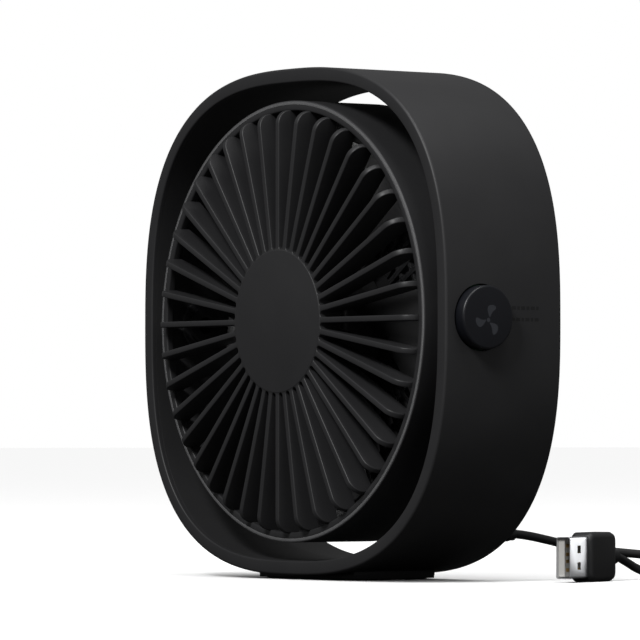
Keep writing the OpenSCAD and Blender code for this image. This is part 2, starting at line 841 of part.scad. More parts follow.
module blade() {
    n = blade_steps;
    row = n + 1;
    sheet = row * row;
    edge = concat([for (i = [0:n - 1]) i], [for (j = [0:n - 1]) j * row + n],
        [for (i = [n:-1:1]) n * row + i], [for (j = [n:-1:1]) j * row]);
    polyhedron(
        points = [for (lift = [0, blade_t]) for (j = [0:n]) for (i = [0:n])
            blade_point(i / n, j / n, lift)],
        faces = concat(
            [for (j = [0:n - 1]) for (i = [0:n - 1]) let (a = j * row + i) each
                [[a, a + row + 1, a + 1], [a, a + row, a + row + 1]]],
            [for (j = [0:n - 1]) for (i = [0:n - 1]) let (a = sheet + j * row + i) each
                [[a, a + 1, a + row + 1], [a, a + row + 1, a + row]]],
            [for (k = [0:len(edge) - 1]) let (a = edge[k], b = edge[(k + 1) % len(edge)]) each
                [[a, b + sheet, a + sheet], [a, b, b + sheet]]]));
}

module impeller() {
    color(dark_plastic) union() {
        spin_y() polygon([[0, impeller_front], [impeller_hub_r - 1.5, impeller_front],
            [impeller_hub_r, impeller_front + 1.5], [impeller_hub_r, rotor_back],
            [rotor_r, rotor_back], [rotor_r, rotor_front], [0, rotor_front]]);
        around_y(blade_count) translate([0, 0, (impeller_front + 1.5 + rotor_back) / 2 - 1.2])
            blade();
    }
}

frame_shell();
frame_liner();
frame_screws();
base_plinth();
base_strips();
base_screws();
pivot_bush(-1);  // pivot_bush_left
pivot_bush(1);  // pivot_bush_right
switch_board();
switch_contacts();
supply_wires();
motor_lead();
strain_relief();
power_cord();
cord_coil();
cord_tie();
plug_lead();
plug_grip();
plug_shell();
plug_tongue();
plug_contacts();
speed_knob();
knob_wiper();
knob_clip();
head_shell();
front_grille();
rear_grille();
head_screws();
pivot_stub(-1);  // pivot_stub_left
pivot_stub(1);  // pivot_stub_right
pivot_washers();
pivot_clips();
motor_base();
motor_screws();
motor_bushes();
motor_stator();
motor_coils();
motor_board();
head_wires();
impeller();
rotor_cup();
magnet_ring();
motor_shaft();
shaft_clip();
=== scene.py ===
import bpy
import bmesh
import json
import math
from mathutils import Matrix, Vector


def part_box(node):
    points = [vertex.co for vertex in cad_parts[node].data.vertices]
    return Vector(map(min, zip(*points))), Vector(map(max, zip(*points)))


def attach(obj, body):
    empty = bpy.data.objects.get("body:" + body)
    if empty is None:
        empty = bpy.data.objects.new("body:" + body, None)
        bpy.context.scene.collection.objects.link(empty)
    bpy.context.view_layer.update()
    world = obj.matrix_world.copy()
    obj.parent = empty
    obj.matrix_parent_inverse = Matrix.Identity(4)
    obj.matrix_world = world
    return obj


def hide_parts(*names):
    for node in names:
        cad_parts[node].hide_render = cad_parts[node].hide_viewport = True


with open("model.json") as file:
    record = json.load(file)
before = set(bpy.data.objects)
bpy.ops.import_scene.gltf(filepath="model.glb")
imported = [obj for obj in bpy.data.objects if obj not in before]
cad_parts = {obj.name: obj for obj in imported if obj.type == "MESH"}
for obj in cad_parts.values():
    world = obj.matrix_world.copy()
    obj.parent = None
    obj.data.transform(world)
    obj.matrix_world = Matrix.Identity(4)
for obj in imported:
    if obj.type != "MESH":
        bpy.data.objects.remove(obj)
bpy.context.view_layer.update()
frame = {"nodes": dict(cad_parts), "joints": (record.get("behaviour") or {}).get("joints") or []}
nodes = frame["nodes"]
scene = bpy.context.scene
mm = 0.001

shellLow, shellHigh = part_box("frame_shell")
frameHalf = shellHigh.x  # half the frame's width
frameHeight = shellHigh.z - shellLow.z
frameFront, frameBack = shellLow.y, shellHigh.y
headZ = (shellLow.z + shellHigh.z) / 2
headLow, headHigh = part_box("head_shell")
tilt = next(j for j in frame["joints"] if j["name"] == "head_tilt")
pivotY = tilt["pos_m"][1]
centre = Vector((0, 0, headZ))


# ---- camera and light ----

cameraSet = {
    "azimuth": 53.16,
    "elevation": -1.29,
    "distance": 1.616,
    "lens": 304.6,
    "aside": 0.0079,  # how far the view's middle is left of the fan's
    "above": 0.00072,
}


def makeCamera():
    a, e = math.radians(cameraSet["azimuth"]), math.radians(cameraSet["elevation"])
    back = Vector((math.sin(a) * math.cos(e), -math.cos(a) * math.cos(e), math.sin(e)))
    right = Vector((math.cos(a), math.sin(a), 0))
    up = back.cross(right)
    camera = bpy.data.objects.new("camera", bpy.data.cameras.new("camera"))
    camera.data.sensor_width = 36
    camera.data.lens = cameraSet["lens"]
    camera.location = centre + back * cameraSet["distance"] - right * cameraSet["aside"] \
        + up * cameraSet["above"]
    camera.rotation_mode = "QUATERNION"
    camera.rotation_quaternion = (-back).to_track_quat("-Z", "Y")
    camera.data.clip_start, camera.data.clip_end = 0.05, 50
    scene.collection.objects.link(camera)
    scene.camera = camera


def softLight(name, place, aim, size, power):
    lamp = bpy.data.lights.new(name, "AREA")
    lamp.shape = "RECTANGLE"
    lamp.size = size
    lamp.size_y = size
    lamp.energy = power
    thing = bpy.data.objects.new(name, lamp)
    thing.location = place
    thing.rotation_mode = "QUATERNION"
    thing.rotation_quaternion = (Vector(aim) - Vector(place)).to_track_quat("-Z", "Y")
    scene.collection.objects.link(thing)
    return thing


makeCamera()
print("camera made")


# ---- shader helpers ----


class Wire:  # wraps a socket, so that sums on it add their Math nodes
    def __init__(self, nodes, links, socket):
        self.nodes, self.links, self.socket = nodes, links, socket

    def sum(self, operation, *values):
        node = self.nodes.new("ShaderNodeMath")
        node.operation = operation
        for slot, value in zip(node.inputs, values):
            if isinstance(value, Wire):
                self.links.new(value.socket, slot)
            else:
                slot.default_value = value
        return Wire(self.nodes, self.links, node.outputs[0])

    def __add__(self, other):
        return self.sum("ADD", self, other)

    def __radd__(self, other):
        return self.sum("ADD", other, self)

    def __sub__(self, other):
        return self.sum("SUBTRACT", self, other)

    def __rsub__(self, other):
        return self.sum("SUBTRACT", other, self)

    def __mul__(self, other):
        return self.sum("MULTIPLY", self, other)

    def __rmul__(self, other):
        return self.sum("MULTIPLY", other, self)

    def __pow__(self, other):
        return self.sum("POWER", self, other)

    def clip(self):
        return self.sum("MINIMUM", self.sum("MAXIMUM", self, 0), 1)


class Finish:  # one material and its nodes
    def __init__(self, name, roughness=0.5, metallic=0.0, specular=0.5):
        self.material = bpy.data.materials.new(name)
        self.material.use_nodes = True
        self.nodes = self.material.node_tree.nodes
        self.links = self.material.node_tree.links
        self.shader = self.nodes["Principled BSDF"]
        self.shader.inputs["Roughness"].default_value = roughness
        self.shader.inputs["Metallic"].default_value = metallic
        self.shader.inputs["Specular IOR Level"].default_value = specular
        self.place = self.add("ShaderNodeTexCoord").socket.node.outputs["Object"]
        self.place = Wire(self.nodes, self.links, self.place)

    def add(self, kind, settings=None, values=None, output=0):
        node = self.nodes.new(kind)
        for key, value in (settings or {}).items():
            setattr(node, key, value)
        for key, value in (values or {}).items():
            if isinstance(value, Wire):
                self.links.new(value.socket, node.inputs[key])
            else:
                node.inputs[key].default_value = value
        return Wire(self.nodes, self.links, node.outputs[output])

    def noise(self, scale, detail=3, roughness=0.55, place=None):
        return self.add("ShaderNodeTexNoise", None, {"Vector": place or self.place,
            "Scale": scale, "Detail": detail, "Roughness": roughness})

    def ramp(self, value, stops):
        wire = self.add("ShaderNodeValToRGB", None, {"Fac": value})
        bar = wire.socket.node.color_ramp
        for k, (at, colour) in enumerate(stops):
            stop = bar.elements[k] if k < 2 else bar.elements.new(at)
            stop.position, stop.color = at, (*colour, 1)
        return wire

    def feed(self, name, wire):
        self.links.new(wire.socket, self.shader.inputs[name])

    def bump(self, height, strength, distance=0.0001):
        self.feed("Normal", self.add("ShaderNodeBump", None,
            {"Height": height, "Strength": strength, "Distance": distance}))


def mouldedPlastic(name, dark, light, roughness, grain=2600, strength=0.12):
    f = Finish(name, roughness)
    fine = f.noise(grain, 2)
    broad = f.noise(38, 4)
    f.feed("Base Color", f.ramp(broad, [(0.3, dark), (0.7, light)]))
    f.feed("Roughness", (roughness - 0.05 + broad * 0.06 + fine * 0.06).clip())
    f.bump(fine, strength)
    return f.material


def turnedMetal(name, dark, light, roughness, streaks=(900, 900, 40)):
    f = Finish(name, roughness, 1.0)
    stretched = f.add("ShaderNodeMapping", None, {"Vector": f.place, "Scale": streaks})
    lines = f.noise(1, 3, 0.6, stretched)
    cloud = f.noise(90, 3)
    f.feed("Base Color", f.ramp(cloud, [(0.3, dark), (0.7, light)]))
    f.feed("Roughness", (roughness - 0.06 + lines * 0.12 + cloud * 0.05).clip())
    f.bump(lines, 0.08)
    return f.material


plastic = mouldedPlastic("mattShellPlastic", (0.024, 0.024, 0.0255), (0.03, 0.03, 0.0315), 0.5)
linerPlastic = mouldedPlastic("mattLinerPlastic", (0.02, 0.02, 0.021), (0.025, 0.025, 0.026), 0.55)
grillePlastic = mouldedPlastic("grillePlastic", (0.023, 0.023, 0.0245), (0.029, 0.029, 0.0305), 0.46)
knobPlastic = mouldedPlastic("knobPlastic", (0.006, 0.0065, 0.0095), (0.008, 0.009, 0.0125),
    0.38, 3200, 0.05)
bladePlastic = mouldedPlastic("bladePlastic", (0.024, 0.024, 0.025), (0.03, 0.03, 0.031),
    0.42, 1800, 0.04)
basePlastic = mouldedPlastic("basePlastic", (0.012, 0.012, 0.013), (0.016, 0.016, 0.017), 0.55)
stripRubber = mouldedPlastic("stripRubber", (0.014, 0.014, 0.014), (0.02, 0.02, 0.02), 0.85, 1500, 0.3)
cordRubber = mouldedPlastic("cordJacket", (0.012, 0.012, 0.0125), (0.017, 0.017, 0.018), 0.5, 1400, 0.1)
plugPlastic = mouldedPlastic("plugMoulding", (0.02, 0.02, 0.021), (0.026, 0.026, 0.027), 0.48, 1700, 0.2)
printPaint = mouldedPlastic("printPaint", (0.009, 0.009, 0.0095), (0.012, 0.012, 0.0125),
    0.6, 2000, 0.02)
iconPaint = mouldedPlastic("iconPaint", (0.035, 0.038, 0.046), (0.042, 0.045, 0.054), 0.6, 2000, 0.02)
tonguePlastic = mouldedPlastic("tonguePlastic", (0.62, 0.61, 0.58), (0.7, 0.69, 0.66), 0.5, 900, 0.05)
washerNylon = mouldedPlastic("washerNylon", (0.016, 0.016, 0.016), (0.022, 0.022, 0.022), 0.4, 900, 0.05)
stubBlack = mouldedPlastic("stubBlack", (0.016, 0.016, 0.017), (0.02, 0.02, 0.021), 0.35, 900, 0.05)
boardMask = mouldedPlastic("boardMask", (0.02, 0.12, 0.05), (0.03, 0.16, 0.07), 0.35, 700, 0.1)
wireRed = mouldedPlastic("wireRed", (0.35, 0.02, 0.015), (0.42, 0.03, 0.02), 0.4, 900, 0.05)
wireBlue = mouldedPlastic("wireBlue", (0.02, 0.04, 0.2), (0.03, 0.05, 0.26), 0.4, 900, 0.05)
magnetGrey = mouldedPlastic("magnetGrey", (0.05, 0.05, 0.052), (0.08, 0.08, 0.083), 0.6, 1200, 0.3)
plugSteel = turnedMetal("plugSteel", (0.72, 0.73, 0.75), (0.8, 0.81, 0.83), 0.3)
screwSteel = turnedMetal("screwSteel", (0.4, 0.4, 0.42), (0.5, 0.5, 0.52), 0.35)
shaftSteel = turnedMetal("shaftSteel", (0.5, 0.5, 0.52), (0.6, 0.6, 0.62), 0.25)
coreSteel = turnedMetal("coreSteel", (0.3, 0.3, 0.32), (0.4, 0.4, 0.42), 0.4)
brass = turnedMetal("brass", (0.62, 0.42, 0.16), (0.74, 0.52, 0.22), 0.32)
copper = turnedMetal("windingCopper", (0.5, 0.16, 0.06), (0.66, 0.24, 0.1), 0.35, (60, 2600, 2600))
print("finishes made")


# ---- mesh helpers ----


def finishPiece(name, bm, body, material, replaced=(), sharpAngle=32, weld=True):
    if weld:
        bmesh.ops.remove_doubles(bm, verts=bm.verts, dist=1e-6)
        bmesh.ops.recalc_face_normals(bm, faces=bm.faces)
    for face in bm.faces:
        face.smooth = True
    for edge in bm.edges:
        edge.smooth = len(edge.link_faces) == 2 and \
            edge.calc_face_angle(0) < math.radians(sharpAngle)
    mesh = bpy.data.meshes.new(name)
    bm.to_mesh(mesh)
    bm.free()
    piece = bpy.data.objects.new(name, mesh)
    scene.collection.objects.link(piece)
    mesh.materials.append(material)
    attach(piece, body)
    if replaced:
        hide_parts(*replaced)
    return piece


def rounded(points, radii, steps=4):  # a closed outline with its corners turned to arcs
    out = []
    count = len(points)
    for k, point in enumerate(points):
        here = Vector(point)
        radius = radii[k] if isinstance(radii, (list, tuple)) else radii
        before = (Vector(points[k - 1]) - here)
        after = (Vector(points[(k + 1) % count]) - here)
        if radius <= 0:
            out.append(here)
            continue
        half = before.angle(after) / 2
        reach = min(radius / math.tan(half), before.length * 0.48, after.length * 0.48)
        size = reach * math.tan(half)
        middle = here + (before.normalized() + after.normalized()).normalized() \
            * (size / math.sin(half))
        first, last = here + before.normalized() * reach, here + after.normalized() * reach
        a, b = first - middle, last - middle
        turn = a.angle_signed(b)
        for i in range(steps + 1):
            t = -turn * i / steps
            out.append(middle + Vector((a.x * math.cos(t) - a.y * math.sin(t),
                a.x * math.sin(t) + a.y * math.cos(t))))
    return out


def toY(bm, verts):  # stands a shape that was turned about Z on the fan's own line
    bmesh.ops.rotate(bm, verts=verts, cent=(0, 0, 0), matrix=Matrix.Rotation(-math.pi / 2, 3, "X"))
    bmesh.ops.translate(bm, verts=verts, vec=centre)


def turned(bm, outline, segments=96, closed=True):  # turns an outline of (radius, height) about Z
    verts = [bm.verts.new((p[0], 0, p[1])) for p in outline]
    pairs = list(zip(verts, verts[1:] + (verts[:1] if closed else [])))
    edges = [bm.edges.new(pair) for pair in pairs]
    made = bmesh.ops.spin(bm, geom=verts + edges, cent=(0, 0, 0), axis=(0, 0, 1),
        angle=2 * math.pi, steps=segments, use_merge=True)
    around = {v for e in edges for v in e.verts}
    known = set(around)
    todo = list(around)
    while todo:
        vert = todo.pop()
        for edge in vert.link_edges:
            other = edge.other_vert(vert)
            if other not in known:
                known.add(other)
                todo.append(other)
    return list(known)


def turnedY(bm, outline, segments=96, closed=True):
    verts = turned(bm, outline, segments, closed)
    toY(bm, verts)
    return verts


def turnedX(bm, outline, side, segments=64, closed=True):  # outline of (radius, x) on the pivot
    verts = turned(bm, outline, segments, closed)
    bmesh.ops.rotate(bm, verts=verts, cent=(0, 0, 0),
        matrix=Matrix.Rotation(side * math.pi / 2, 3, "Y"))
    bmesh.ops.translate(bm, verts=verts, vec=(0, pivotY, headZ))
    return verts


def bend(value, curve):
    return math.copysign(abs(value) ** (2 / curve), value)


# ---- cord, from the frame's back through its coil to the plug ----

cordSet = {
    "diameter": 0.0026,
    "fanSide": [(48.9, 24.4, 13.7), (49.2, 30, 13), (50.2, 36, 11.8), (51.8, 42, 10.4),
        (54, 48, 9.2), (56.4, 53.6, 8.4), (58.8, 59, 7.8), (61.2, 64.6, 7.2), (63.6, 70, 6.4),
        (66.2, 75.2, 5.2), (69, 80.4, 3.9), (72, 85.6, 2.8), (75.4, 90.8, 2), (79, 95.9, 1.8),
        (82.8, 101, 1.8)],
    "plugSide": [(66.6, 47.6, 7.2), (65.2, 50.8, 6.7), (64.2, 55, 5.2), (64.4, 59.6, 3),
        (66.4, 63.8, 1.7), (70.2, 67, 1.4), (75.6, 68.9, 1.4), (81.6, 69.6, 1.6),
        (87.6, 69.8, 2.5), (93.6, 69.7, 3.7)],
    "coilAt": (100, 90),
    "coilInner": 9.6,  # radius of the innermost turn
    "coilOuter": 20.4,
    "lowLayer": 1.8,
    "layerStep": 2.66,
    "turnsPerLayer": 4,
    "pointsPerTurn": 20,
    "startTurn": 143,  # degrees round the coil where the fan's side joins it
    "endTurn": 270,
}


def coilPoints():
    inner, outer = cordSet["coilInner"], cordSet["coilOuter"]
    step = 360 / cordSet["pointsPerTurn"]
    lowSweep = 360 * cordSet["turnsPerLayer"]
    rise = 90
    highSweep = 360 * cordSet["turnsPerLayer"] \
        + (cordSet["startTurn"] - lowSweep - rise - cordSet["endTurn"]) % 360
    total = lowSweep + rise + highSweep
    count = round(total / step)
    points = []
    for k in range(1, count + 1):
        swept = total * k / count
        if swept < lowSweep:
            radius, lift = outer + (inner - outer) * swept / lowSweep, 0
        elif swept < lowSweep + rise:
            share = (swept - lowSweep) / rise
            radius, lift = inner, share * share * (3 - 2 * share)
        else:
            radius, lift = inner + (outer - inner) * (swept - lowSweep - rise) / highSweep, 1
        a = math.radians(cordSet["startTurn"] - swept)
        points.append((cordSet["coilAt"][0] + radius * math.cos(a),
            cordSet["coilAt"][1] + radius * math.sin(a),
            cordSet["lowLayer"] + lift * cordSet["layerStep"]))
    return points


def makeCord():
    route = cordSet["fanSide"] + coilPoints() + cordSet["plugSide"][::-1]
    curve = bpy.data.curves.new("powerCord", "CURVE")
    curve.dimensions = "3D"
    spline = curve.splines.new("BEZIER")
    spline.bezier_points.add(len(route) - 1)
    for place, point in zip(route, spline.bezier_points):
        point.co = Vector(place) * mm
        point.handle_left_type = point.handle_right_type = "AUTO"
    curve.bevel_depth = cordSet["diameter"] / 2
    curve.bevel_resolution = 4
    curve.resolution_u = 5
    curve.use_fill_caps = True
    cord = bpy.data.objects.new("powerCord", curve)
    scene.collection.objects.link(cord)
    curve.materials.append(cordRubber)
    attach(cord, "frame")
    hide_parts("power_cord", "cord_coil", "plug_lead")
    length = sum(s.calc_length() for s in curve.splines)
    print("cord length", round(length, 3))
    return cord, length


cord, cordLength = makeCord()
print("cord laid")


def lofted(bm, count, places, closed=True):  # a loop of points for each place, joined in turn
    loop = bmesh.ops.create_circle(bm, cap_ends=False, segments=count, radius=1)["verts"]
    turns = {v: math.atan2(v.co.y, v.co.x) for v in loop}
    firstEdges = edges = list({e for v in loop for e in v.link_edges})
    for vert in loop:
        vert.co = places[0](turns[vert])
    for place in places[1:]:
        made = bmesh.ops.extrude_edge_only(bm, edges=edges)["geom"]
        fresh = {}
        for vert in [g for g in made if isinstance(g, bmesh.types.BMVert)]:
            old = next(e.other_vert(vert) for e in vert.link_edges if e.other_vert(vert) in turns)
            fresh[vert] = turns[old]
        edges = [g for g in made if isinstance(g, bmesh.types.BMEdge)
            and g.verts[0] in fresh and g.verts[1] in fresh]
        for vert, turn in fresh.items():
            vert.co = place(turn)
        turns = fresh
    if closed:
        bmesh.ops.bridge_loops(bm, edges=firstEdges + edges)
    else:
        bmesh.ops.holes_fill(bm, edges=firstEdges + edges, sides=count)


def carved(bm, cutter, operation="DIFFERENCE"):  # takes the cutter's shape out of bm
    things = []
    for k, shape in enumerate((bm, cutter)):
        bmesh.ops.remove_doubles(shape, verts=shape.verts, dist=1e-6)
        bmesh.ops.recalc_face_normals(shape, faces=shape.faces)
        mesh = bpy.data.meshes.new("cut" + str(k))
        shape.to_mesh(mesh)
        shape.free()
        things.append(bpy.data.objects.new("cut" + str(k), mesh))
        scene.collection.objects.link(things[-1])
    change = things[0].modifiers.new("cut", "BOOLEAN")
    change.object = things[1]
    change.operation = operation
    change.solver = "EXACT"
    graph = bpy.context.evaluated_depsgraph_get()
    result = bpy.data.meshes.new_from_object(things[0].evaluated_get(graph))
    out = bmesh.new()
    out.from_mesh(result)
    for thing in things:
        mesh = thing.data
        bpy.data.objects.remove(thing)
        bpy.data.meshes.remove(mesh)
    bpy.data.meshes.remove(result)
    return out


def wallPlace(inset, y):  # a point of the frame's rounded square outline for each turn
    curve = frameSet["outerCurve"] + (frameSet["innerCurve"] - frameSet["outerCurve"]) \
        * inset / frameSet["wall"]
    return lambda a: Vector(((frameHalf - inset) * bend(math.cos(a), curve), y,
        headZ + (frameHeight / 2 - inset) * bend(math.sin(a), curve)))


def wallPoint(degrees):  # the middle of the wall's thickness in that direction
    a = math.radians(degrees)
    inset = frameSet["wall"] / 2
    curve = (frameSet["outerCurve"] + frameSet["innerCurve"]) / 2
    reach = ((abs(math.cos(a)) / (frameHalf - inset)) ** curve
        + (abs(math.sin(a)) / (frameHeight / 2 - inset)) ** curve) ** (-1 / curve)
    return reach * math.cos(a), reach * math.sin(a)


def rodY(bm, at, outline, closed=False, segments=32):  # outline of (radius, y) at a point of the face
    verts = turned(bm, outline, segments, closed)
    toY(bm, verts)
    bmesh.ops.translate(bm, verts=verts, vec=(at[0], 0, at[1]))
    return verts


def blockAt(bm, low, high):
    verts = bmesh.ops.create_cube(bm, size=1)["verts"]
    low, high = Vector(low), Vector(high)
    bmesh.ops.scale(bm, verts=verts, vec=high - low)
    bmesh.ops.translate(bm, verts=verts, vec=(low + high) / 2)
    return verts


def softened(node, width, body, material, segments=2, angle=35):
    # a CAD node's copy with its flat faces joined and its edges rounded
    bm = bmesh.new()
    bm.from_mesh(nodes[node].data)
    bmesh.ops.remove_doubles(bm, verts=bm.verts, dist=2e-6)
    bmesh.ops.dissolve_limit(bm, angle_limit=math.radians(1), verts=bm.verts, edges=bm.edges)
    sharp = [e for e in bm.edges if len(e.link_faces) == 2
        and e.calc_face_angle(0) > math.radians(angle)]
    bmesh.ops.bevel(bm, geom=sharp, offset=width, offset_type="OFFSET", affect="EDGES",
        segments=segments, profile=0.5, material=-1, clamp_overlap=True)
    return finishPiece(node.title().replace("_", ""), bm, body, material, [node])


# ---- frame ----

frameSet = {
    "wall": 0.0042,
    "skin": 0.0013,
    "outerCurve": 2.7,  # squareness of the outline, 2 being a circle
    "innerCurve": 2.8,
    "points": 336,
    "frontEdge": 0.0008,
    "innerEdge": 0.0005,
    "flange": 0.0016,
    "seam": 0.0001,
    "screwTurns": (30, 90, 150, 210, 330),
    "screwHole": 0.0007,
    "screwPocket": 0.0014,
    "bossRadius": 0.0013,
    "bossLength": 0.010,
    "reliefTurn": -52,
    "reliefHole": 0.00165,
    "knobHole": 0.00955,
    "cupRadius": 0.0095,
    "cupBore": 0.0082,
    "cupFloor": (0.0665, 0.0682),
    "cupEnd": 0.0718,
    "bushRadius": 0.0056,
}


def makeFrameShell():
    s = frameSet
    outline = rounded([(0, frameBack), (0, frameFront), (s["wall"], frameFront),
        (s["wall"], frameFront + s["flange"]), (s["skin"], frameFront + s["flange"]),
        (s["skin"], frameBack)],
        [0.0004, s["frontEdge"], s["innerEdge"], 0, 0.0003, 0.0002], 5)
    bm = bmesh.new()
    lofted(bm, s["points"], [wallPlace(p.x, p.y) for p in outline])
    cutter = bmesh.new()
    turnedX(cutter, [(0, 0.060), (s["knobHole"], 0.060), (s["knobHole"], 0.0746),
        (s["knobHole"] + 0.0006, 0.0756), (0, 0.0756)], 1, 96, False)
    for turn in s["screwTurns"]:
        rodY(cutter, wallPoint(turn), [(0, frameBack - 0.0008),
            (s["screwPocket"], frameBack - 0.0008), (s["screwPocket"], 0.03), (0, 0.03)])
    bm = carved(bm, cutter)
    bossBack = frameBack - s["flange"]
    for turn in s["screwTurns"]:
        rodY(bm, wallPoint(turn), [(0, bossBack - s["bossLength"]),
            (s["bossRadius"], bossBack - s["bossLength"]), (s["bossRadius"], bossBack),
            (s["screwHole"], bossBack), (s["screwHole"], bossBack - 0.008), (0, bossBack - 0.008)])
    return finishPiece("frameShell", bm, "frame", plastic, ["frame_shell"], 38)


def makeFrameLiner():
    s = frameSet
    front = frameFront + s["flange"]
    back = frameBack - s["flange"]
    inner = s["wall"] - s["skin"]
    outline = rounded([(s["wall"], front), (s["wall"], frameBack),
        (s["skin"] + s["seam"], frameBack), (s["skin"] + s["seam"], back), (inner, back),
        (inner, front)], [0.0001, 0.0006, 0.0002, 0, 0.0002, 0], 5)
    bm = bmesh.new()
    lofted(bm, s["points"], [wallPlace(p.x, p.y) for p in outline])
    cutter = bmesh.new()
    for side in (-1, 1):
        turnedX(cutter, [(0, 0.060), (s["cupBore"], 0.060), (s["cupBore"], 0.0735),
            (0, 0.0735)], side, 64, False)
    for turn in s["screwTurns"]:
        rodY(cutter, wallPoint(turn), [(0, back - 0.0004), (s["screwHole"] + s["seam"],
            back - 0.0004), (s["screwHole"] + s["seam"], frameBack - 0.0008),
            (s["screwPocket"], frameBack - 0.0008), (s["screwPocket"], 0.03), (0, 0.03)])
    rodY(cutter, wallPoint(s["reliefTurn"]), [(0, 0.0135), (s["reliefHole"], 0.0135),
        (s["reliefHole"], 0.03), (0, 0.03)])
    bm = carved(bm, cutter)
    floorIn, floorOut = s["cupFloor"]
    for side in (-1, 1):
        cup = rounded([(s["bushRadius"], floorIn), (s["cupRadius"], floorIn),
            (s["cupRadius"], s["cupEnd"]), (s["cupBore"], s["cupEnd"]), (s["cupBore"], floorOut),
            (s["bushRadius"], floorOut)], [0.0003, 0.0007, 0, 0, 0.0003, 0], 4)
        turnedX(bm, cup, side, 72)
    return finishPiece("frameLiner", bm, "frame", linerPlastic, ["frame_liner"],
        38)


makeFrameShell()
makeFrameLiner()
softened("base_plinth", 0.0003, "frame", basePlastic)
softened("base_strips", 0.00015, "frame", stripRubber)
softened("strain_relief", 0.0003, "frame", cordRubber)
softened("cord_tie", 0.00012, "frame", basePlastic)
print("frame made")


# ---- head ----

headSet = {
    "rim": headHigh.z - headZ,  # radius of the front rim
    "wall": 0.002,
    "front": headLow.y,
    "back": headHigh.y,
    "lipWidth": 0.0012,
    "lipDepth": 0.0024,
    "bossRadius": 0.0075,
    "bossOuter": 0.0656,
    "stubRadius": 0.004,
    "postRadius": 0.003,
    "postBore": 0.0011,
    "postFront": -0.0035,
    "plateFront": 0.0058,  # front of the rear grille's plate
    "postTurns": (45, 135, 225, 315),
}


rearOuter = headSet["rim"] - headSet["wall"] - 0.0002  # the rear grille's edge, clear of the shell
postRing = rearOuter - headSet["postRadius"] - 0.0002


def makeHeadShell():
    s = headSet
    front, back, seat = s["front"], s["back"], s["front"] + s["lipDepth"]
    outline = rounded([(s["rim"], front), (s["rim"], back),
        (s["rim"] - s["wall"], back), (s["rim"] - s["wall"], seat),
        (s["rim"] - s["lipWidth"], seat), (s["rim"] - s["lipWidth"], front)],
        [0.0005, 0.0007, 0.0003, 0, 0, 0.00006], 5)
    bm = bmesh.new()
    turnedY(bm, outline, 256)
    cutter = bmesh.new()
    for side in (-1, 1):
        turnedX(cutter, [(0, 0.05), (s["stubRadius"], 0.05), (s["stubRadius"], 0.07),
            (0, 0.07)], side, 64, False)
    bm = carved(bm, cutter)
    bossIn = s["rim"] - s["wall"] - 0.0015
    for side in (-1, 1):
        boss = rounded([(s["stubRadius"], bossIn), (s["bossRadius"], bossIn),
            (s["bossRadius"], s["bossOuter"]), (s["stubRadius"], s["bossOuter"])],
            [0, 0.0004, 0.0004, 0.0002], 3)
        turnedX(bm, boss, side, 72)
    for turn in s["postTurns"]:
        a = math.radians(turn)
        at = (postRing * math.cos(a), postRing * math.sin(a))
        post = rounded([(s["postBore"], s["postFront"]), (s["postRadius"], s["postFront"]),
            (s["postRadius"], s["plateFront"]), (s["postBore"], s["plateFront"])],
            [0.0001, 0.0005, 0.0001, 0.0001], 3)
        rodY(bm, at, post, True)
        rib = blockAt(bm, (postRing + 0.002, -0.0015, s["postFront"] + 0.0003),
            (s["rim"] - s["wall"] / 2, 0.0015, s["plateFront"]))
        bmesh.ops.rotate(bm, verts=rib, cent=(0, 0, 0), matrix=Matrix.Rotation(-a, 3, "Z"))
        toY(bm, rib)
    return finishPiece("headShell", bm, "head", plastic, ["head_shell"], 38)


grilleSet = {
    "vanes": 40,
    "vaneThickness": 0.0017,
    "vaneDepth": 0.0075,
    "rise": 0.0043,  # how far the vanes stand ahead of the rim, and their shoulder's radius
    "edge": 0.00028,
    "hubRadius": 0.0212,
    "hubThickness": 0.002,
    "hubWall": 0.0016,
    "rimInner": 0.0624,
}


def vaneLoop(half, edge, across, front, back, normal):
    # the vane's section at one place: width across, from its back to its rounded front
    points = [(-half, back)]
    for k in range(4):
        a = math.radians(30 * k)
        points.append((-half + edge * (1 - math.cos(a)), edge * (1 - math.sin(a))))
    for k in range(3, -1, -1):
        a = math.radians(30 * k)
        points.append((half - edge * (1 - math.cos(a)), edge * (1 - math.sin(a))))
    points.append((half, back))
    out = []
    for w, depth in points:
        if depth == back:
            out.append(Vector((across, w, back)))
        else:
            out.append(Vector((across - normal[0] * depth, w, front - normal[1] * depth)))
    return out


